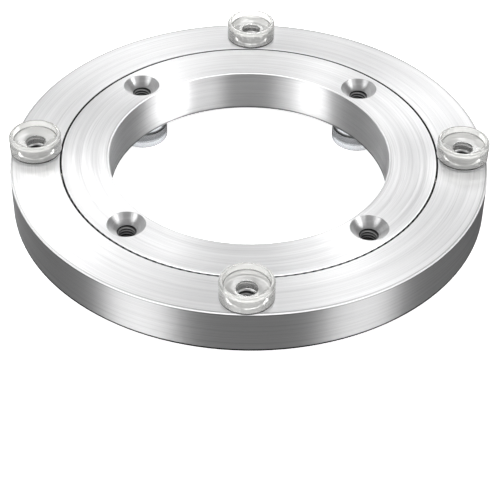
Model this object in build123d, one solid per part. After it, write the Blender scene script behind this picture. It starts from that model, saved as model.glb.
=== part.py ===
"""Lazy susan bearing: two flush aluminium rings that turn on one row of steel balls.

The rings lie one inside the other. A groove round each facing wall makes half of the race, and
the row of balls between them carries the load both ways, so it also locks the rings together.
The balls go in one by one through a hole in the outer ring's wall, and a grub screw whose end
carries the groove on closes that hole. Clear soft pads over the outer ring's threaded holes grip
the top that turns. The same moulding, upside down under the inner ring's countersunk holes,
makes the feet.

The origin is on the turning axis, in the plane that the feet stand on, with +Z up. Lengths are
in millimetres. Bearings round the axis are in degrees from +X, and -Y is the front.
"""
import math
import os

from build123d import *

# Rings: the section of each one is built outwards and inwards from the row of balls
pitch_diameter = 79.0
ring_height = 9.5
running_gap = 0.4
race_web = 0.9
outer_edge_land = 3.16
inner_edge_land = 0.76
free_edge_chamfer = 0.2
seam_edge_chamfer = 0.15

# Row of balls: 3/16 inch steel
ball_diameter = 4.7625
race_clearance = 0.06
ball_slack = 0.4

# Screw holes: M4 through both rings, countersunk for a flat head in the inner ring
screw_hole_diameter = 4.0
screw_hole_lead = 0.35
countersink_diameter = 7.8
countersink_angle = 90.0
hole_count = 4
first_pad_bearing = 0.0
first_foot_bearing = 45.0

# Ball-filling hole and the grub screw that closes it
fill_clearance = 0.12
plug_thread_depth = 0.5
plug_fit = 0.03
plug_recess = 0.4
plug_end_chamfer = 0.3
plug_socket_width = 3.0
plug_socket_depth = 3.5
plug_bearing = 135.0

# Pads and feet: one soft moulding
pad_diameter = 10.8
pad_height = 4.0
pad_hole_clearance = 0.1
pad_rim_width = 0.75
pad_rim_round = 0.5
pad_base_round = 0.3
pad_recess_depth = 1.3
pad_recess_draft = 0.12
pad_floor_fall = 0.7
pad_floor_sag = 0.15

# Heights
underside = pad_height
race_level = underside + ring_height / 2
topside = underside + ring_height

# Radii from the turning axis
pitch_radius = pitch_diameter / 2
race_radius = ball_diameter / 2 + race_clearance
outer_seam_radius = pitch_radius + running_gap / 2
inner_seam_radius = pitch_radius - running_gap / 2
outer_hole_circle = pitch_radius + race_radius + race_web + screw_hole_diameter / 2
inner_hole_circle = pitch_radius - race_radius - race_web - screw_hole_diameter / 2
outer_radius = outer_hole_circle + screw_hole_diameter / 2 + outer_edge_land
bore_radius = inner_hole_circle - countersink_diameter / 2 - inner_edge_land

# The race takes as many balls as fit with this slack between neighbours
ball_count = int(math.pi * pitch_diameter / (ball_diameter + ball_slack))

# A tapped hole that still lets a ball through inside its thread
plug_diameter = ball_diameter + 2 * (fill_clearance + plug_thread_depth)

# How far a cutting tool runs past the face that it opens
overrun = 1.0


def turned(section):
    """Revolves a section, drawn with x as the radius and y as the height, round the Z axis."""
    return revolve(Plane.XZ * section, Axis.Z)


def ring_section(free_radius, seam_radius):
    """Draws a ring's section: a chamfered block with half of the race cut into its seam wall."""
    inward = math.copysign(1, seam_radius - free_radius)
    free_land = free_radius + inward * free_edge_chamfer
    seam_land = seam_radius - inward * seam_edge_chamfer
    block = make_face(
        Polyline(
            (free_land, underside),
            (seam_land, underside),
            (seam_radius, underside + seam_edge_chamfer),
            (seam_radius, topside - seam_edge_chamfer),
            (seam_land, topside),
            (free_land, topside),
            (free_radius, topside - free_edge_chamfer),
            (free_radius, underside + free_edge_chamfer),
            close=True,
        )
    )
    return block - Pos(pitch_radius, race_level) * Circle(race_radius)


def screw_hole(top_mouth, bottom_mouth):
    """Makes the cutter of one upright screw hole with a conical mouth at each face."""
    hole = screw_hole_diameter / 2
    slope = math.tan(math.radians(countersink_angle / 2))
    return turned(
        make_face(
            Polyline(
                (0, underside - overrun),
                (bottom_mouth + overrun * slope, underside - overrun),
                (hole, underside + (bottom_mouth - hole) / slope),
                (hole, topside - (top_mouth - hole) / slope),
                (top_mouth + overrun * slope, topside + overrun),
                (0, topside + overrun),
                close=True,
            )
        )
    )


def around(shape, circle, first_bearing):
    """Sets equal copies of a shape upright on a circle, from the first bearing on."""
    step = 360 / hole_count
    return [Rot(Z=first_bearing + i * step) * Pos(X=circle) * shape for i in range(hole_count)]


def along_plug_axis(shape):
    """Lays a shape that stands on +Z along the radial axis of the ball-filling hole."""
    return Pos(Z=race_level) * Rot(Z=plug_bearing) * Rot(Y=90) * shape


def make_outer_ring():
    """Turns the outer ring, then drills its screw holes and the ball-filling hole."""
    lead = screw_hole_diameter / 2 + screw_hole_lead
    ring = turned(ring_section(outer_radius, outer_seam_radius))
    for hole in around(screw_hole(lead, lead), outer_hole_circle, first_pad_bearing):
        ring -= hole
    depth = outer_radius - pitch_radius + overrun
    drill = Pos(Z=pitch_radius + depth / 2) * Cylinder(plug_diameter / 2, depth)
    return ring - along_plug_axis(drill)


def make_inner_ring():
    """Turns the inner ring and drills its countersunk screw holes."""
    lead = screw_hole_diameter / 2 + screw_hole_lead
    ring = turned(ring_section(bore_radius, inner_seam_radius))
    for hole in around(screw_hole(countersink_diameter / 2, lead), inner_hole_circle, first_foot_bearing):
        ring -= hole
    return ring


def make_fill_plug():
    """Makes the grub screw: a blank with a hex socket, its inner end cut to the race's groove."""
    end = outer_radius - plug_recess
    length = end - pitch_radius
    blank = Pos(Z=pitch_radius + length / 2) * Cylinder(plug_diameter / 2 - plug_fit, length)
    blank = chamfer(blank.edges().group_by(Axis.Z)[-1], plug_end_chamfer)
    socket_face = Pos(Z=end - plug_socket_depth) * RegularPolygon(plug_socket_width / 2, 6, major_radius=False)
    blank -= extrude(socket_face, plug_socket_depth)
    return along_plug_axis(blank) & turned(ring_section(outer_radius, outer_seam_radius))


def make_pad():
    """Turns one pad on its own axis: a rounded rim round a recess, whose floor falls to a screw hole."""
    hole = screw_hole_diameter / 2 + pad_hole_clearance
    wall = pad_diameter / 2
    recess_mouth = (wall - pad_rim_width, pad_height)
    floor_edge = (wall - pad_rim_width - pad_recess_draft, pad_height - pad_recess_depth)
    floor_end = (hole, pad_height - pad_recess_depth - pad_floor_fall)
    floor = SagittaArc(floor_edge, floor_end, pad_floor_sag)
    outline = Polyline(floor_end, (hole, 0), (wall, 0), (wall, pad_height), recess_mouth, floor_edge)
    section = make_face([outline, floor])
    rim_corner = section.vertices().group_by(Axis.X)[-1].sort_by(Axis.Y)[-1]
    section = fillet(rim_corner, pad_rim_round)
    base_corner = section.vertices().group_by(Axis.X)[-1].sort_by(Axis.Y)[0]
    section = fillet(base_corner, pad_base_round)
    return turned(section)


def make_balls():
    """Sets the balls evenly round the race."""
    ball = Sphere(ball_diameter / 2)
    step = 360 / ball_count
    return [Rot(Z=i * step) * Pos(pitch_radius, 0, race_level) * ball for i in range(ball_count)]


def make_parts():
    """Makes every piece of the bearing, by name."""
    pad = make_pad()
    foot = Rot(X=180) * pad
    pads = around(Pos(Z=topside) * pad, outer_hole_circle, first_pad_bearing)
    feet = around(Pos(Z=underside) * foot, inner_hole_circle, first_foot_bearing)
    parts = {
        "outer_ring": make_outer_ring(),
        "inner_ring": make_inner_ring(),
        "ball_fill_plug": make_fill_plug(),
    }
    parts.update(zip(("pad_right", "pad_rear", "pad_left", "pad_front"), pads))
    parts.update(zip(("foot_rear_right", "foot_rear_left", "foot_front_left", "foot_front_right"), feet))
    parts.update({f"ball_{i:02d}": ball for i, ball in enumerate(make_balls(), start=1)})
    return parts


os.makedirs("parts", exist_ok=True)
for name, shape in make_parts().items():
    export_step(shape, f"parts/{name}.step")
print(f"outer diameter {2 * outer_radius:.2f}, bore {2 * bore_radius:.2f}, height {topside + pad_height:.2f}")
print(f"screw hole circles {2 * outer_hole_circle:.2f} and {2 * inner_hole_circle:.2f}, {ball_count} balls")
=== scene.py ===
# %% [markdown]
# # Dressing a ring bearing for a turning stand
# The bearing arrives as exact CAD solids: two flush aluminium rings, a row of steel balls between
# them, a grub screw in the outer wall, four clear pads on top and four clear feet below. Blender's
# job is everything that the eye reads as material: the fine rings that a lathe leaves, the fans of
# light that they make, the thread in the screw holes and the way that clear soft plastic bends what
# lies behind it.

import math

import bpy
import numpy as np
from mathutils import Matrix, Vector


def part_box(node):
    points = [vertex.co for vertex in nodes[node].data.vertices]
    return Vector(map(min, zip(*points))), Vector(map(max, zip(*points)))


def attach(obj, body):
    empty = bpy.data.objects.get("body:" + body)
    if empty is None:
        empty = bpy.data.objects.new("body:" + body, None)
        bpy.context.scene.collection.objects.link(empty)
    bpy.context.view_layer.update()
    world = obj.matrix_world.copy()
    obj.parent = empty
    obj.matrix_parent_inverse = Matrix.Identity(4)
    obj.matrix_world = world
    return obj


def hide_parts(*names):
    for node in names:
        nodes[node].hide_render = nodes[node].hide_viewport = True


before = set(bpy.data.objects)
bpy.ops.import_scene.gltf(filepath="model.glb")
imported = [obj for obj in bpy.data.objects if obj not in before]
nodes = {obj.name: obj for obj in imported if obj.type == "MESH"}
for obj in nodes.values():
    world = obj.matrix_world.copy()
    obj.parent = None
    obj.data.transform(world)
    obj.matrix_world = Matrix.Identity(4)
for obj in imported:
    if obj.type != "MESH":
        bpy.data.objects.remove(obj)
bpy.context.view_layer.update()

# %% [markdown]
# The sizes below are the same ones that the CAD model is built from. They are read off the packed
# nodes where a box gives them, so the looks follow the solids and nothing has to be fitted. Only the
# bore and the gap between the rings are given as numbers, because no node's box shows them.

# %% Sizes, in metres, and bearings round the axis, in degrees
mm = 0.001
ring_low, ring_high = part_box("outer_ring")
underside = ring_low.z
topside = ring_high.z
outer_radius = ring_high.x
inner_ring_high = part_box("inner_ring")[1]
seam_radius = inner_ring_high.x
running_gap = 0.4 * mm
bore_radius = 29.499 * mm
pad_low, pad_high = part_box("pad_right")
pad_radius = (pad_high.y - pad_low.y) / 2
pad_height = pad_high.z - pad_low.z
outer_hole_circle = (pad_low.x + pad_high.x) / 2
foot_low, foot_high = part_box("foot_rear_right")
inner_hole_circle = math.hypot((foot_low.x + foot_high.x) / 2, (foot_low.y + foot_high.y) / 2)
pad_bearings = {"right": 0, "rear": 90, "left": 180, "front": 270}
foot_bearings = {"rear_right": 45, "rear_left": 135, "front_left": 225, "front_right": 315}
print(f"rings from {underside / mm:.2f} to {topside / mm:.2f} mm, seam at {seam_radius / mm:.2f} mm")
print(f"holes on circles of {outer_hole_circle / mm:.2f} and {inner_hole_circle / mm:.2f} mm")

# %% [markdown]
# ## The camera
# A product photograph like this one is taken with a long lens from well back, so that the near and
# far edges of the ring stay almost the same width. The lens, the place and the tilt were worked out
# from the ellipses that the ring's edges make. The slight roll is real: the horizon isn't quite level.

# %% Camera at the photograph's viewing angle
camera_data = bpy.data.cameras.new("camera")
camera_data.lens = 110.4
camera_data.sensor_width = 36.0
camera_data.sensor_fit = "HORIZONTAL"
camera_data.clip_start = 0.01
camera = bpy.data.objects.new("camera", camera_data)
bpy.context.scene.collection.objects.link(camera)

camera_place = Vector((0.00047, -0.2582, topside + 0.1949))
tilt = math.radians(40.48)
roll = math.radians(0.83)
level_right = Vector((1, 0, 0))
level_up = Vector((0, math.sin(tilt), math.cos(tilt)))
backward = Vector((0, -math.cos(tilt), math.sin(tilt)))
right = level_right * math.cos(roll) + level_up * math.sin(roll)
up = level_up * math.cos(roll) - level_right * math.sin(roll)
facing = Matrix((right, up, backward)).transposed().to_4x4()
camera.matrix_world = Matrix.Translation(camera_place) @ facing
bpy.context.scene.camera = camera
print("camera stands", round(camera_place.length, 3), "m from the origin")

# %% [markdown]
# ## Nodes without clicking
# A material in Blender is a graph of small boxes joined by wires. One helper adds a box, sets its
# options and fills its sockets, either with a plain value or with a wire from an earlier box. The
# others are short names for the boxes that these materials use most. With them, a graph reads from
# top to bottom like a recipe.


# %% Helpers for node graphs
def fill(tree, node, inputs):
    """Fills sockets. Inputs maps a socket's name or number to a value, or to an output to wire in."""
    for key, value in inputs.items():
        if isinstance(value, bpy.types.NodeSocket):
            tree.links.new(value, node.inputs[key])
        else:
            node.inputs[key].default_value = value


def place(tree, kind, inputs=None, **options):
    """Adds one node, sets its options and fills its sockets."""
    node = tree.nodes.new(kind)
    for name, value in options.items():
        setattr(node, name, value)
    fill(tree, node, inputs or {})
    return node


def work_out(tree, operation, *terms):
    """Adds a Math node and gives its output."""
    return place(tree, "ShaderNodeMath", dict(enumerate(terms)), operation=operation).outputs[0]


def vector_of(tree, operation, *terms):
    """Adds a Vector Math node and gives its vector output."""
    return place(tree, "ShaderNodeVectorMath", dict(enumerate(terms)), operation=operation).outputs[0]


def spread(tree, value, low, high, new_low, new_high, smooth=False):
    """Maps a value from one range to another and holds it at the ends."""
    kind = "SMOOTHSTEP" if smooth else "LINEAR"
    inputs = {0: value, 1: low, 2: high, 3: new_low, 4: new_high}
    return place(tree, "ShaderNodeMapRange", inputs, interpolation_type=kind).outputs[0]


def mix(tree, amount, dark, light):
    """Mixes two colours by an amount from 0 to 1. Each is three numbers, or an output to wire in."""
    inputs = {"Factor": amount}
    for key, colour in {"A": dark, "B": light}.items():
        inputs[key] = colour if isinstance(colour, bpy.types.NodeSocket) else (*colour, 1)
    return place(tree, "ShaderNodeMix", inputs, data_type="RGBA").outputs["Result"]


def noise(tree, scale, detail):
    """Gives a noise that is fixed to the piece's own coordinates."""
    here = place(tree, "ShaderNodeTexCoord").outputs["Object"]
    inputs = {"Vector": here, "Scale": scale, "Detail": detail}
    return place(tree, "ShaderNodeTexNoise", inputs).outputs["Fac"]


def relief(tree, height, strength, depth):
    """Adds a Bump node and gives its normal."""
    inputs = {"Strength": strength, "Distance": depth, "Height": height}
    return place(tree, "ShaderNodeBump", inputs).outputs["Normal"]


# %% Helpers for materials
def start_material(name):
    """Makes an empty material with a Principled shader wired to its output."""
    material = bpy.data.materials.new(name)
    material.use_nodes = True
    tree = material.node_tree
    tree.nodes.clear()
    output = tree.nodes.new("ShaderNodeOutputMaterial")
    shader = tree.nodes.new("ShaderNodeBsdfPrincipled")
    tree.links.new(shader.outputs["BSDF"], output.inputs["Surface"])
    return material, tree, shader


def dress(names, material):
    """Puts one material on CAD nodes by assigning their slots. The meshes stay as they are."""
    for name in names:
        for slot in nodes[name].material_slots:
            slot.material = material
    print(material.name, "is on", len(names), "nodes")


# %% [markdown]
# ## The studio
# The picture's background is plain white, and the metal still shows deep greys. Both come from one
# arrangement: a white floor and backdrop that only the lens and the clear plastic see, and a dim room
# that the metal mirrors. The room's dome grows brighter overhead and gives the flat faces their even
# light grey. Low down behind the bearing it's darker still, like a black flag that a photographer
# stands there, and that gives the walls their depth.

# %% Floor
floor_reach = 6.0
floor_material, tree, shader = start_material("pale_floor")
mottle = place(tree, "ShaderNodeTexNoise", {"Scale": 40.0, "Detail": 3.0}).outputs["Fac"]
paleness = mix(tree, mottle, (0.95, 0.95, 0.95), (1.0, 1.0, 1.0))
fill(tree, shader, {"Base Color": paleness, "Emission Color": paleness, "Emission Strength": 0.93})
fill(tree, shader, {"Roughness": 0.9, "Specular IOR Level": 0.0})

floor_mesh = bpy.data.meshes.new("floor")
floor_corners = [(x * floor_reach, y * floor_reach, 0) for x, y in ((-1, -1), (1, -1), (1, 1), (-1, 1))]
floor_mesh.from_pydata(floor_corners, [], [(0, 1, 2, 3)])
floor_mesh.materials.append(floor_material)
floor = bpy.data.objects.new("floor", floor_mesh)
bpy.context.scene.collection.objects.link(floor)
floor.visible_glossy = False
print("the floor is", 2 * floor_reach, "m wide")

# %% Backdrop and the room's dome
dome_grey = (0.8, 0.8, 0.8, 1.0)
dome_zenith = 0.70
dome_horizon = 0.21
dome_rise = (0.15, 0.75)
flag_share = 0.25
flag_reach = (0.2, 0.8)
backdrop_white = (1.0, 1.0, 1.0, 1.0)

room = bpy.data.worlds.new("studio_room")
room.use_nodes = True
bpy.context.scene.world = room
tree = room.node_tree
tree.nodes.clear()
direction = place(tree, "ShaderNodeTexCoord").outputs["Generated"]
heading = place(tree, "ShaderNodeSeparateXYZ", {0: direction}).outputs
flag = spread(tree, heading["Y"], *flag_reach, 1.0, flag_share, smooth=True)
horizon = work_out(tree, "MULTIPLY", flag, dome_horizon)
brightness = spread(tree, heading["Z"], *dome_rise, horizon, dome_zenith, smooth=True)
path = place(tree, "ShaderNodeLightPath").outputs
seen_straight = work_out(tree, "MAXIMUM", path["Is Camera Ray"], path["Is Transmission Ray"])
dome = place(tree, "ShaderNodeBackground", {"Color": dome_grey, "Strength": brightness})
backdrop = place(tree, "ShaderNodeBackground", {"Color": backdrop_white, "Strength": 1.0})
both = place(tree, "ShaderNodeMixShader", {0: seen_straight, 1: dome.outputs[0], 2: backdrop.outputs[0]})
place(tree, "ShaderNodeOutputWorld", {"Surface": both.outputs[0]})
bpy.context.scene.view_settings.view_transform = "Standard"
print("the dome runs from", dome_horizon, "at the horizon to", dome_zenith, "overhead")

# %% [markdown]
# ## Soft boxes
# Turned metal draws each soft box as a pair of bright fans on the flat faces, or as an upright band
# on a wall. Seen from the camera, a box at bearing b puts the band near (b - 90) / 2, or half a turn
# on from there, so the bearings below were worked out from the bands that the walls should have. The
# bore and the outer wall need theirs at different places, so several boxes light only one ring, which
# Blender calls light linking. The veil is wide and overhead, and no metal mirrors it. It lifts only
# what scatters light: the white chamfers and the milky plastic.


# %% A helper for soft boxes
def soft_box(name, bearing, elevation, width, height, power, only=None, but=None, distance=0.7):
    """Hangs an area light that faces the middle of the rings' top.

    It hangs at distance times (cos e cos b, cos e sin b, sin e) from there, with b the bearing and e
    the elevation. Only lists the objects that it lights, and but the ones that it leaves dark.
    """
    b = math.radians(bearing)
    e = math.radians(elevation)
    aim = Vector((math.cos(e) * math.cos(b), math.cos(e) * math.sin(b), math.sin(e)))
    light = bpy.data.lights.new(name, "AREA")
    light.shape = "RECTANGLE"
    light.size = width
    light.size_y = height
    light.energy = power
    lamp = bpy.data.objects.new(name, light)
    bpy.context.scene.collection.objects.link(lamp)
    lamp.location = aim * distance + Vector((0, 0, topside))
    lamp.rotation_euler = aim.to_track_quat("Z", "Y").to_euler()
    lamp.visible_camera = False
    if only or but:
        lit = bpy.data.collections.new(f"lit_by_{name}")
        for obj in only or but:
            lit.objects.link(obj)
        for member in lit.collection_objects:
            member.light_linking.link_state = "INCLUDE" if only else "EXCLUDE"
        lamp.light_linking.receiver_collection = lit
    return lamp


# %% Soft boxes round the bearing
inner = [nodes["inner_ring"]]
soft_box("box_front", 270, 55, 0.20, 0.20, 0.08)
soft_box("box_back", 90, 33, 0.22, 0.14, 0.52)
soft_box("box_rear_left", 125, 45, 0.28, 0.30, 0.80, but=inner)
soft_box("box_rear_left_inner", 125, 45, 0.22, 0.24, 0.50, only=inner)
soft_box("box_rear_right", 63, 60, 0.16, 0.24, 0.43, but=inner)
soft_box("box_rear_right_inner", 63, 60, 0.16, 0.24, 0.18, only=inner)
soft_box("strip_outer_left", 226, 5, 0.36, 0.12, 2.3, but=inner)
soft_box("strip_outer_right", 317, 5, 0.36, 0.12, 1.9, but=inner)
soft_box("strip_inner_left", 220, 11.5, 0.30, 0.12, 2.6, only=inner)
soft_box("strip_inner_mid_left", 241, 11.5, 0.22, 0.10, 0.66, only=inner)
soft_box("strip_inner_middle", 270, 11.5, 0.24, 0.10, 0.12, only=inner)
soft_box("strip_inner_mid_right", 302, 11.5, 0.24, 0.10, 0.95, only=inner)
soft_box("strip_inner_right", 330, 11.5, 0.26, 0.12, 2.9, only=inner)
soft_box("strip_inner_far_right", 346, 11.5, 0.26, 0.12, 1.2, only=inner)
overhead = soft_box("overhead_veil", 270, 72, 0.60, 0.60, 1.7)
overhead.visible_glossy = False
print(len(bpy.data.lights), "lights hang round the bearing")

# %% [markdown]
# ## Turned aluminium
# A lathe tool leaves fine grooves that all run round the axis. They do two things. Seen close, they
# are faint lighter and darker arcs. Seen from further back, they spread each reflection at right
# angles to themselves, and that is what draws the bright fans on the faces and the upright bands on
# the walls. So the material needs both: arcs in its colour and roughness, and an anisotropic shine
# whose direction follows the axis. A picture of scratches would do neither from every side.
#
# The arcs come from noise in four dimensions: two are the direction round the axis, which closes on
# itself without a seam, one is the radius and one the height. Along the metal the first two change
# far more slowly than the others, so each blot of the noise becomes a long thin arc.


# %% Group: turning marks
def point_in_mm(tree):
    """Gives the point's place on the part, in millimetres."""
    here = place(tree, "ShaderNodeTexCoord").outputs["Object"]
    return vector_of(tree, "MULTIPLY", here, (1 / mm, 1 / mm, 1 / mm))


marks = bpy.data.node_groups.new("turning_marks", "ShaderNodeTree")
marks.interface.new_socket("Centre", in_out="INPUT", socket_type="NodeSocketVector")
for socket_name in ("Spacing", "Turns"):
    marks.interface.new_socket(socket_name, in_out="INPUT", socket_type="NodeSocketFloat")
for socket_name in ("Fine", "Broad"):
    marks.interface.new_socket(socket_name, in_out="OUTPUT", socket_type="NodeSocketFloat")
given = place(marks, "NodeGroupInput").outputs
from_axis = vector_of(marks, "SUBTRACT", point_in_mm(marks), given["Centre"])
east, north, height = place(marks, "ShaderNodeSeparateXYZ", {0: from_axis}).outputs
flat = place(marks, "ShaderNodeCombineXYZ", {0: east, 1: north}).outputs[0]
radius = place(marks, "ShaderNodeVectorMath", {0: flat}, operation="LENGTH").outputs["Value"]
compass = place(marks, "ShaderNodeSeparateXYZ", {0: vector_of(marks, "NORMALIZE", flat)}).outputs


def arcs(spacing, turns, detail):
    """Noise at (turns cos a, turns sin a, radius / spacing, height / spacing), as a value from 0 to 1."""
    cosine = work_out(marks, "MULTIPLY", compass["X"], turns)
    sine = work_out(marks, "MULTIPLY", compass["Y"], turns)
    outward = work_out(marks, "DIVIDE", radius, spacing)
    upward = work_out(marks, "DIVIDE", height, spacing)
    spot = place(marks, "ShaderNodeCombineXYZ", {0: cosine, 1: sine, 2: outward}).outputs[0]
    inputs = {"Vector": spot, "W": upward, "Scale": 1.0, "Detail": detail, "Roughness": 0.6}
    blots = place(marks, "ShaderNodeTexNoise", inputs, noise_dimensions="4D").outputs["Fac"]
    return spread(marks, blots, 0.3, 0.7, 0.0, 1.0)


fine = arcs(given["Spacing"], given["Turns"], 2.0)
wide_spacing = work_out(marks, "MULTIPLY", given["Spacing"], 5.0)
few_turns = work_out(marks, "MULTIPLY", given["Turns"], 0.5)
broad = arcs(wide_spacing, few_turns, 3.0)
place(marks, "NodeGroupOutput", {"Fine": fine, "Broad": broad})
print("turning_marks has", len(marks.nodes), "nodes")

# %% [markdown]
# ## Where a point lies on its ring
# A ring doesn't look the same all over. The grooves in a countersink run round the screw's axis, the
# race and the seam are dark, and the narrow chamfers are whiter than the faces. Each place could have
# its own material, but the CAD mesh stays as it is, so the one material has to tell them apart. It
# works from the point's coordinates, with masks that are 1 in their place and 0 elsewhere.

# %% Places on a ring, in millimetres
low_face = underside / mm
high_face = topside / mm
seam_middle = (seam_radius + running_gap / 2) / mm
print(f"the seam's middle is at {seam_middle:.3f} mm, the faces at {low_face:.2f} and {high_face:.2f} mm")


# %% Measures and masks
def flat_length(tree, a, b):
    """The length of a flat arrow, from its two sides: the root of a a + b b."""
    squares = [work_out(tree, "MULTIPLY", side, side) for side in (a, b)]
    return work_out(tree, "SQRT", work_out(tree, "ADD", *squares))


def distance(tree, value, level):
    """How far a value is from a level, on either side."""
    return work_out(tree, "ABSOLUTE", work_out(tree, "SUBTRACT", value, level))


def between(tree, value, low, high):
    """1 where the value lies between two limits, and 0 elsewhere."""
    past_low = work_out(tree, "GREATER_THAN", value, low)
    short_of_high = work_out(tree, "LESS_THAN", value, high)
    return work_out(tree, "MULTIPLY", past_low, short_of_high)


def within(tree, tone, mask, share):
    """Multiplies the tone by a share inside the mask, and leaves it as it is elsewhere."""
    return work_out(tree, "MULTIPLY", tone, spread(tree, mask, 0.0, 1.0, 1.0, share))


def nearest_hole(tree, x, y, circle, on_diagonals):
    """The axis of the screw hole in this quarter of the ring, found from the signs of x and y."""
    side_x = work_out(tree, "SIGN", x)
    side_y = work_out(tree, "SIGN", y)
    if on_diagonals:
        step = circle / math.sqrt(2)
        return work_out(tree, "MULTIPLY", side_x, step), work_out(tree, "MULTIPLY", side_y, step)
    wider = work_out(tree, "GREATER_THAN", work_out(tree, "ABSOLUTE", x), work_out(tree, "ABSOLUTE", y))
    taller = work_out(tree, "SUBTRACT", 1.0, wider)
    hole_x = work_out(tree, "MULTIPLY", work_out(tree, "MULTIPLY", side_x, wider), circle)
    hole_y = work_out(tree, "MULTIPLY", work_out(tree, "MULTIPLY", side_y, taller), circle)
    return hole_x, hole_y


# %% [markdown]
# ## The tone of a ring
# Light that goes deep into a gap comes out dark, and a renderer that follows only a few bounces makes
# such places too pale. So painted shade, a tone from 0 to 1, is multiplied into the colour. It's near 0
# in the seam, in the race and in the dark line at the outer wall's foot, and it's nearer to 1 in the
# screw holes, over the outer wall and in the thin line of painted shade where a chamfer ends. The
# strongest scratches lower it a little too, and they are the metal's own marks. The places are found by
# their distance from the free wall, which is the outer wall on the outer ring and the bore on the inner
# one, from the middle of the seam, and from the two faces.

# %% Reach of each place, in millimetres from the free wall
wall_facets = 0.035
chamfer = 0.24
chamfer_line = 0.58
print("a dark line ends", chamfer_line, "mm in from the wall, and the chamfer before it", chamfer, "mm in")

# %% Reach of each place, in millimetres from the seam's middle
seam_walls = (0.20, 0.23)
seam_chamfer = (0.235, 0.40)
race_depth = 2.6
print("the race reaches", race_depth, "mm to each side of the seam")

# %% Reach of each place, in millimetres above the low face or below the high one
foot_shade = (0.46, 0.68)
race_above_low = 0.5
race_below_high = 1.2
wall_line = (0.45, 0.20)
top_chamfer = 0.22
print("the race is dark from", low_face + race_above_low, "to", high_face - race_below_high, "mm")

# %% Tones
# The seam, race and screw-hole tones are painted shade, and the scratch tone is the metal's own marks.
seam_tone = 0.02
race_tone = 0.08
hole_tone = 0.70
scratch_tone = 0.86
scratch_range = (0.58, 0.80)
edge_whiteness = 0.85
print("tones: seam", seam_tone, "race", race_tone, "screw hole", hole_tone, "scratch", scratch_tone)


# %% Tone and dullness of a ring
def ring_tone(tree, radius, z, free_wall, in_hole, scratches, wall_tone, foot_tone, line_tone):
    """Gives a ring's painted shade and scratch tone. Every dark place multiplies it by the share of the
    light that it keeps.
    """
    on_wall = between(tree, radius, free_wall - wall_facets, free_wall + wall_facets)
    shade_low, shade_high = (low_face + reach for reach in foot_shade)
    foot = spread(tree, z, shade_low, shade_high, foot_tone, 1.0, smooth=True)
    wall_share = work_out(tree, "MULTIPLY", foot, wall_tone)
    tone = spread(tree, on_wall, 0.0, 1.0, 1.0, wall_share)

    from_seam = distance(tree, radius, seam_middle)
    seam_share = spread(tree, from_seam, *seam_walls, seam_tone, 1.0, smooth=True)
    tone = work_out(tree, "MULTIPLY", tone, seam_share)
    race_height = between(tree, z, low_face + race_above_low, high_face - race_below_high)
    near_seam = work_out(tree, "LESS_THAN", from_seam, race_depth)
    tone = within(tree, tone, work_out(tree, "MULTIPLY", near_seam, race_height), race_tone)

    on_face = between(tree, distance(tree, radius, free_wall), chamfer, chamfer_line)
    line_low, line_high = (high_face - reach for reach in wall_line)
    under_edge = work_out(tree, "MULTIPLY", on_wall, between(tree, z, line_low, line_high))
    tone = within(tree, tone, work_out(tree, "MAXIMUM", on_face, under_edge), line_tone)

    scratch_share = spread(tree, scratches, *scratch_range, 1.0, scratch_tone, smooth=True)
    tone = work_out(tree, "MULTIPLY", tone, scratch_share)
    return within(tree, tone, in_hole, hole_tone)


def dullness(tree, radius, z, free_wall):
    """Gives how little the surface mirrors, and the seam's mask. The top chamfers are nearly white."""
    from_seam = distance(tree, radius, seam_middle)
    free_edge = between(tree, distance(tree, radius, free_wall), wall_facets, chamfer)
    seam_edge = between(tree, from_seam, *seam_chamfer)
    upper = work_out(tree, "GREATER_THAN", z, high_face - top_chamfer)
    edge = work_out(tree, "MULTIPLY", work_out(tree, "MAXIMUM", free_edge, seam_edge), upper)
    white_edge = work_out(tree, "MULTIPLY", edge, edge_whiteness)
    in_seam = work_out(tree, "LESS_THAN", from_seam, seam_walls[1])
    return work_out(tree, "MAXIMUM", white_edge, in_seam), in_seam


# %% [markdown]
# ## The aluminium of one ring
# Both rings are cut from the same bright aluminium, so one function makes both materials. It finds the
# axis that the grooves run round, points the anisotropic shine along them, and wires the turning marks
# into the colour, the roughness and a bump of two hundredths of a millimetre. The rings differ only in
# where their holes are and in their tones: the outer wall's foot is the darker, because it stands
# close over its own shadow, and the bore's foot is seen against the bright floor.


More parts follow.
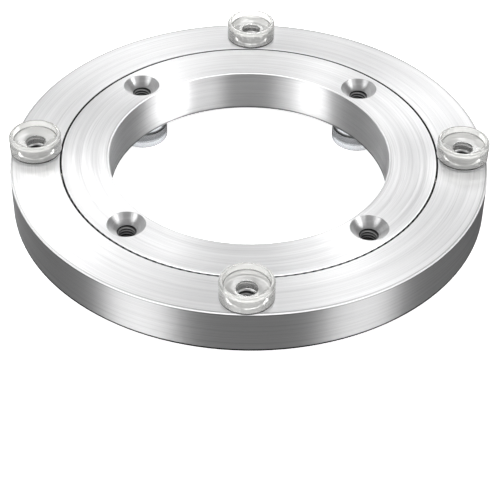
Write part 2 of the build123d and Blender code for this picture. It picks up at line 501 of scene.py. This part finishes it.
# %% Aluminium of the inner and of the outer ring
def turned_aluminium(name, circle, on_diagonals, mouth, free_radius, **tones):
    """Makes a ring's aluminium. Inside a screw hole's mouth the grooves run round the hole's own axis."""
    material, tree, shader = start_material(name)
    free_wall = free_radius / mm
    x, y, z = place(tree, "ShaderNodeSeparateXYZ", {0: point_in_mm(tree)}).outputs
    radius = flat_length(tree, x, y)
    hole_x, hole_y = nearest_hole(tree, x, y, circle / mm, on_diagonals)
    off_x = work_out(tree, "SUBTRACT", x, hole_x)
    off_y = work_out(tree, "SUBTRACT", y, hole_y)
    in_hole = work_out(tree, "LESS_THAN", flat_length(tree, off_x, off_y), mouth / mm)
    centre_x = work_out(tree, "MULTIPLY", hole_x, in_hole)
    centre_y = work_out(tree, "MULTIPLY", hole_y, in_hole)

    # The groove's direction is the arm from the axis, turned by a quarter
    arm_x = work_out(tree, "SUBTRACT", x, centre_x)
    arm_y = work_out(tree, "SUBTRACT", centre_y, y)
    quarter_turned = place(tree, "ShaderNodeCombineXYZ", {0: arm_y, 1: arm_x}).outputs[0]
    groove = vector_of(tree, "NORMALIZE", quarter_turned)
    spaces = {"vector_type": "VECTOR", "convert_from": "OBJECT", "convert_to": "WORLD"}
    along = place(tree, "ShaderNodeVectorTransform", {0: groove}, **spaces).outputs[0]
    fill(tree, shader, {"Tangent": along, "Anisotropic": 0.95, "Anisotropic Rotation": 0.25})

    centre = place(tree, "ShaderNodeCombineXYZ", {0: centre_x, 1: centre_y}).outputs[0]
    settings = {"Centre": centre, "Spacing": 0.13, "Turns": 1.4}
    grain = place(tree, "ShaderNodeGroup", settings, node_tree=marks).outputs
    fine_part = work_out(tree, "MULTIPLY", grain["Fine"], 0.4)
    broad_part = work_out(tree, "MULTIPLY", grain["Broad"], 0.6)
    shine = work_out(tree, "ADD", fine_part, broad_part)

    bare_metal = mix(tree, shine, (0.75, 0.75, 0.755), (0.94, 0.94, 0.945))
    tone = ring_tone(tree, radius, z, free_wall, in_hole, grain["Fine"], **tones)
    dull, in_seam = dullness(tree, radius, z, free_wall)
    roughness = spread(tree, shine, 0.0, 1.0, 0.54, 0.42)
    fill(tree, shader, {
        "Base Color": mix(tree, tone, (0.0, 0.0, 0.0), bare_metal),
        "Metallic": work_out(tree, "SUBTRACT", 1.0, dull),
        "Roughness": work_out(tree, "MAXIMUM", roughness, in_seam),
        "Normal": relief(tree, grain["Fine"], 0.3, 0.02 * mm),
    })
    return material


countersink_mouth = 3.95 * mm
tapped_mouth = 2.40 * mm
# The wall, foot and line tones below are painted shade.
inner_aluminium = turned_aluminium(
    "turned_aluminium_inner", inner_hole_circle, True, countersink_mouth, bore_radius,
    wall_tone=1.0, foot_tone=0.4, line_tone=0.9,
)
outer_aluminium = turned_aluminium(
    "turned_aluminium_outer", outer_hole_circle, False, tapped_mouth, outer_radius,
    wall_tone=0.8, foot_tone=0.03, line_tone=0.68,
)
dress(["inner_ring"], inner_aluminium)
dress(["outer_ring"], outer_aluminium)

# %% [markdown]
# ## Balls and plug
# The balls are hardened chrome steel, lapped until they mirror, with a trace of grease that dulls
# them in patches. The grub screw in the filling hole is plain steel, a shade darker than the rings.
# Their meshes are round enough as they come, so each needs only its material.

# %% Steel of the balls
ball_count = 48
ball_steel, tree, shader = start_material("ball_steel")
film = spread(tree, noise(tree, 420.0, 3.0), 0.42, 0.62, 0.0, 1.0, smooth=True)
fill(tree, shader, {
    "Base Color": mix(tree, film, (0.62, 0.62, 0.63), (0.50, 0.49, 0.46)),
    "Roughness": spread(tree, film, 0.0, 1.0, 0.06, 0.22),
    "Metallic": 1.0,
})
dress([f"ball_{i:02d}" for i in range(1, ball_count + 1)], ball_steel)

# %% Steel of the plug
plug_steel, tree, shader = start_material("plug_steel")
speckle = noise(tree, 900.0, 4.0)
fill(tree, shader, {
    "Base Color": mix(tree, speckle, (0.36, 0.36, 0.375), (0.54, 0.54, 0.56)),
    "Roughness": spread(tree, speckle, 0.3, 0.7, 0.60, 0.42),
    "Metallic": 1.0,
    "Normal": relief(tree, speckle, 0.3, 0.02 * mm),
})
dress(["ball_fill_plug"], plug_steel)

# %% [markdown]
# ## Surfaces from numbers
# Pads and threads are both tubes bent round an axis, so one function turns a grid of points into a
# mesh. Row by row, the points follow the section, and column by column they go round. The grid
# closes on itself both ways, so the piece is a sealed skin with no loose edge and no pole. Each point
# can carry a number, its shade, which the material reads back as a dark or a bright line.


# %% A grid of points becomes a mesh
def skin(name, points, material, sharp, shade):
    """Joins a grid of points, rows along the section and columns round the axis, into a closed skin.

    Face (i, j) uses points (i, j), (i, j+1), (i+1, j+1) and (i+1, j), counted round both ways. Edges
    that turn by more than the sharp angle, in degrees, stay crisp.
    """
    rows, columns = points.shape[:2]
    index = np.arange(rows * columns).reshape(rows, columns)
    next_row = np.roll(index, -1, axis=0)
    next_column = np.roll(index, -1, axis=1)
    corner = np.roll(next_row, -1, axis=1)
    quads = np.stack([index, next_column, corner, next_row], axis=-1).reshape(-1, 4)
    mesh = bpy.data.meshes.new(name)
    mesh.from_pydata(points.reshape(-1, 3).tolist(), [], quads.tolist())
    mesh.materials.append(material)
    mesh.polygons.foreach_set("use_smooth", np.ones(len(quads), bool))
    mesh.set_sharp_from_angle(angle=math.radians(sharp))
    shade_of_points = mesh.attributes.new("shade", "FLOAT", "POINT")
    shade_of_points.data.foreach_set("value", shade.reshape(-1).astype(np.float32))
    mesh.update()
    piece = bpy.data.objects.new(name, mesh)
    bpy.context.scene.collection.objects.link(piece)
    return piece


def arc(centre, radius, start, end, count):
    """Points centre + radius (cos t, sin t), with t from start to end in degrees."""
    t = np.radians(np.linspace(start, end, count))
    return np.stack([centre[0] + radius * np.cos(t), centre[1] + radius * np.sin(t)], axis=1)


def go_round(section, columns):
    """Revolves a section of (radius, height): each point becomes (r cos a, r sin a, h) for every a."""
    a = np.linspace(0, 2 * np.pi, columns, endpoint=False)
    r = section[:, 0][:, None]
    h = section[:, 1][:, None]
    return np.stack([r * np.cos(a), r * np.sin(a), h + 0 * a], axis=-1)


# %% [markdown]
# ## Clear pads and feet
# Each pad is a soft clear moulding: a rounded rim round a recess, whose floor sags down to a hole for
# a screw. Clear plastic is read by what it bends: the bright rim, the dark line where the floor
# begins, the ring of thread seen through the hole. A plain disc would show none of these, so the
# section is drawn in full, with its small rounds, and turned.
#
# In a real moulding the corners show as dark lines, because light is turned back in them many times
# and doesn't come out towards the eye. A render follows too few of those turns to find the lines, so
# each point of the section also has a darkness from 0 to 1, which the plastic's colour reads. The feet
# have one more such line, round their rim, because they are seen against the bright floor.

# %% Sizes of a pad's section
hole_radius = 2.10 * mm
rim_round = 0.50 * mm
base_round = 0.30 * mm
lip_round = 0.12 * mm
base_inset = 0.25 * mm
base_line_low = 0.42 * mm
base_line_high = 0.56 * mm
recess_mouth = pad_radius - 0.75 * mm
floor_edge = np.array([recess_mouth - 0.12 * mm, pad_height - 1.30 * mm])
floor_end = np.array([hole_radius, pad_height - 2.00 * mm])
floor_sag = 0.15 * mm
print("the pad's recess is", round(2 * recess_mouth / mm, 2), "mm wide at its mouth")

# %% Darkness of a pad's lines
base_dark = 1.0
corner_dark = 0.75
floor_end_dark = 0.6
foot_rim_dark = 0.9
print("the base line's darkness is", base_dark, "and that of a foot's rim", foot_rim_dark)


# %% Section of a pad
def sagging(start, end, sag, count):
    """Points of the circle through start and end that dips below their chord by the sag at its middle."""
    chord = end - start
    length = np.hypot(*chord)
    away = np.array([chord[1], -chord[0]]) / length
    bend = (length ** 2 / 4 + sag ** 2) / (2 * sag)
    middle = (start + end) / 2 + away * (bend - sag)
    first = math.degrees(math.atan2(*(start - middle)[::-1]))
    last = math.degrees(math.atan2(*(end - middle)[::-1]))
    turn = (last - first + 180) % 360 - 180
    return arc(middle, bend, first, first + turn, count)


def corner_points(*offsets):
    """Points given by their offsets from the floor's outer edge, in millimetres."""
    return floor_edge + np.array(offsets) * mm


def pad_section(rim_dark):
    """The points of a pad's section as (radius, height), with a darkness for each.

    They run along the base, the wall, the rounded rim, the lip, the recess and its sagging floor. The
    hole's wall closes the section.
    """
    rim = (pad_radius - rim_round, pad_height - rim_round)
    base = (pad_radius - base_round, base_round)
    lip = (recess_mouth + lip_round, pad_height - lip_round)
    runs = [
        (np.array([[hole_radius, 0.0]]), corner_dark),
        (np.array([[pad_radius - base_round - base_inset, 0.0]]), 0.0),
        (arc(base, base_round, -75, 0, 6), base_dark),
        (np.array([[pad_radius, base_line_low]]), base_dark),
        (np.array([[pad_radius, base_line_high]]), 0.0),
        (arc(rim, rim_round, 0, 12, 3), 0.6 * rim_dark),
        (arc(rim, rim_round, 18, 70, 8), rim_dark),
        (arc(rim, rim_round, 76, 90, 3), 0.0),
        (arc(lip, lip_round, 90, 175, 6), 0.0),
        (corner_points((0.02, 0.22)), 0.0),
        (corner_points((0.01, 0.08), (-0.08, -0.02)), corner_dark),
        (sagging(floor_edge, floor_end, floor_sag, 16)[1:-1], 0.0),
        (floor_end[None], floor_end_dark),
    ]
    points = np.concatenate([run for run, dark in runs])
    darkness = np.concatenate([np.full(len(run), dark) for run, dark in runs])
    return points, darkness


section, pad_darkness = pad_section(0.0)
foot_darkness = pad_section(foot_rim_dark)[1]
print("the pad's section has", len(section), "points")
print("it is", round(section[:, 1].max() / mm, 2), "mm high")

# %% [markdown]
# ## Clear soft plastic
# A see-through colour would only fade the pads, because it bends nothing. So most of the plastic is
# true refraction, and the rest scatters light like milk, which gives a soft moulding its pale body.
# The pads are a little milkier than the feet. A faint ripple in the skin, which the eye hardly sees
# by itself, keeps the glints from being as hard as on glass.


# %% Plastic of the pads and of the feet
def moulded_plastic(name, pale, clearness, gloss):
    """Makes the plastic. Clearness is its share of refraction, and the rest scatters light like milk."""
    material, tree, shader = start_material(name)
    ripple = noise(tree, 260.0, 2.0)
    line = place(tree, "ShaderNodeAttribute", attribute_name="shade").outputs["Fac"]
    body = mix(tree, ripple, tuple(0.97 * v for v in pale), pale)
    fill(tree, shader, {
        "Base Color": mix(tree, line, body, (0.06, 0.06, 0.06)),
        "Roughness": spread(tree, ripple, 0.35, 0.65, gloss, gloss + 0.05, smooth=True),
        "Normal": relief(tree, ripple, 0.15, 0.05 * mm),
        "IOR": 1.45,
        "Transmission Weight": clearness,
    })
    return material


pad_plastic = moulded_plastic("milky_soft_plastic", (0.90, 0.90, 0.88), 0.72, 0.03)
foot_plastic = moulded_plastic("clear_soft_plastic", (0.93, 0.95, 0.98), 0.75, 0.02)
print("the plastics are", pad_plastic.name, "and", foot_plastic.name)

# %% [markdown]
# ## Pads and feet in place
# All eight mouldings are the same shape, so the section is turned once, and the grid is moved to each
# screw hole. A foot is the same grid upside down. Each moulding stands for its CAD solid and rides on
# that solid's body. None casts a shadow, because a render would stop the light that goes through real
# clear plastic to the metal under it. One more soft box lights only the mouldings, for the small
# glints on their walls.


# %% Pads and feet
def set_moulding(name, node, body, bearing, circle, level, grid, darkness, plastic):
    """Sets one moulding on its hole: turned by the bearing, moved out by the circle and up to its level."""
    b = math.radians(bearing)
    spin = np.array([[math.cos(b), math.sin(b), 0], [-math.sin(b), math.cos(b), 0], [0, 0, 1]])
    points = grid @ spin + np.array([circle * math.cos(b), circle * math.sin(b), level])
    shade = np.repeat(darkness[:, None], grid.shape[1], axis=1)
    piece = skin(name, points, plastic, sharp=35, shade=shade)
    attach(piece, body)
    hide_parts(node)
    piece.visible_shadow = False
    return piece


columns_round_pad = 96
pad_grid = go_round(section, columns_round_pad)
foot_grid = pad_grid * np.array([1, -1, -1])
pad_form = (outer_hole_circle, topside, pad_grid, pad_darkness, pad_plastic)
foot_form = (inner_hole_circle, underside, foot_grid, foot_darkness, foot_plastic)
mouldings = []
for side, bearing in pad_bearings.items():
    mouldings.append(set_moulding(f"clear_pad_{side}", f"pad_{side}", "outer", bearing, *pad_form))
for side, bearing in foot_bearings.items():
    mouldings.append(set_moulding(f"clear_foot_{side}", f"foot_{side}", "inner", bearing, *foot_form))
soft_box("box_for_glints", 80, 50, 0.22, 0.30, 1.2, only=mouldings)
print(len(mouldings), "clear mouldings are in place")

# %% [markdown]
# ## Thread in the screw holes
# The CAD holes are plain, at the thread's outer diameter. A real tapped hole has a helical ridge, and
# it shows at the bottom of every countersink as three or four dark lines. Carving it into the solids
# would cost far more faces than it is worth, so it's a thin sleeve set in each hole. Its inner skin is
# a radius that rises and falls with height and turn together, and that alone makes a helix.

# %% Sizes of the thread
thread_pitch = 0.7 * mm
thread_crest = 1.63 * mm
thread_root = 1.965 * mm
thread_back = 1.985 * mm
crest_flat = 0.14
flank = 0.66
run_out = 0.5 * thread_pitch
daylight_reach = 0.42
print("the thread is", round(2 * thread_root / mm, 2), "mm wide with a pitch of", thread_pitch / mm, "mm")


# %% Surface of a thread sleeve
def thread_grid(low, high, columns=48, rows_per_turn=10):
    """Radius = crest + (root - crest) groove, where groove is a wave of height / pitch - a / 2 pi.

    The wave is 0 on the flat crests and 1 in the grooves, and the crests fade out at both ends. The
    first and last rows are the sleeve's back. Every point also has a brightness, which is painted light and
    shade: daylight reaches the crests near the top, and the grooves and the depth stay dark.
    """
    rows = int((high - low) / thread_pitch * rows_per_turn)
    h = np.linspace(low, high, rows)[:, None]
    a = np.linspace(0, 2 * np.pi, columns, endpoint=False)[None, :]
    phase = (h / thread_pitch - a / (2 * np.pi)) % 1.0
    groove = np.clip((np.abs(2 * phase - 1) - crest_flat) / flank, 0, 1)
    fade = np.clip(np.minimum(h - low, high - h) / run_out, 0, 1)
    r = thread_root + (thread_crest + (thread_root - thread_crest) * groove - thread_root) * fade
    inner_skin = np.stack([r * np.cos(a), r * np.sin(a), h + 0 * a], axis=-1)
    back = np.stack([thread_back * np.cos(a), thread_back * np.sin(a), 0 * a], axis=-1)
    bottom = back + np.array([0, 0, low])
    top = back + np.array([0, 0, high])
    grid = np.concatenate([top, inner_skin[::-1], bottom])
    daylight = np.clip(1 - (high - h) / (daylight_reach * (high - low)), 0, 1)
    crests = np.clip((thread_root - r) / (thread_root - thread_crest), 0, 1)
    bright = daylight * (0.05 + 0.95 * crests ** 2)
    dark_row = np.zeros((1, columns))
    return grid, np.concatenate([dark_row, bright[::-1], dark_row])


# %% [markdown]
# The thread is the same aluminium as the rings, cut by a tap. The ring's own material knows nothing of
# crests and grooves, so the sleeve gets a metal that reads the painted light and shade of its points,
# and only the crests near the mouth are painted bright. It uses the same turning marks as the rings,
# made shorter.

# %% Metal of the thread
thread_metal, tree, shader = start_material("tapped_aluminium")
cuts = place(tree, "ShaderNodeGroup", {"Spacing": 0.12, "Turns": 6.0}, node_tree=marks).outputs["Fine"]
bright = place(tree, "ShaderNodeAttribute", attribute_name="shade").outputs["Fac"]
# Painted light and shade: crests near the mouth painted bright, grooves and depth painted dark, varied a
# little by the cuts.
lit_crests_and_cuts = work_out(tree, "MULTIPLY", bright, spread(tree, cuts, 0.0, 1.0, 0.8, 1.0))
fill(tree, shader, {
    "Base Color": mix(tree, lit_crests_and_cuts, (0.01, 0.01, 0.01), (0.95, 0.95, 0.95)),
    "Metallic": 1.0,
    "Roughness": 0.3,
})
print("the thread's metal is", thread_metal.name)


# %% Thread sleeves in their holes
def set_thread(name, body, bearing, circle, low, high):
    """Sets one sleeve in its hole: moved out by the circle along the bearing."""
    b = math.radians(bearing)
    grid, bright = thread_grid(low, high)
    points = grid + np.array([circle * math.cos(b), circle * math.sin(b), 0])
    piece = skin(name, points, thread_metal, sharp=50, shade=bright)
    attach(piece, body)
    return piece


hole_lead = 0.35 * mm
cone_depth = 1.90 * mm
foot_end = underside + hole_lead
for side, bearing in pad_bearings.items():
    set_thread(f"thread_{side}", "outer", bearing, outer_hole_circle, foot_end, topside - hole_lead)
for side, bearing in foot_bearings.items():
    set_thread(f"thread_{side}", "inner", bearing, inner_hole_circle, foot_end, topside - cone_depth)
print(len(pad_bearings) + len(foot_bearings), "threads are in their holes")
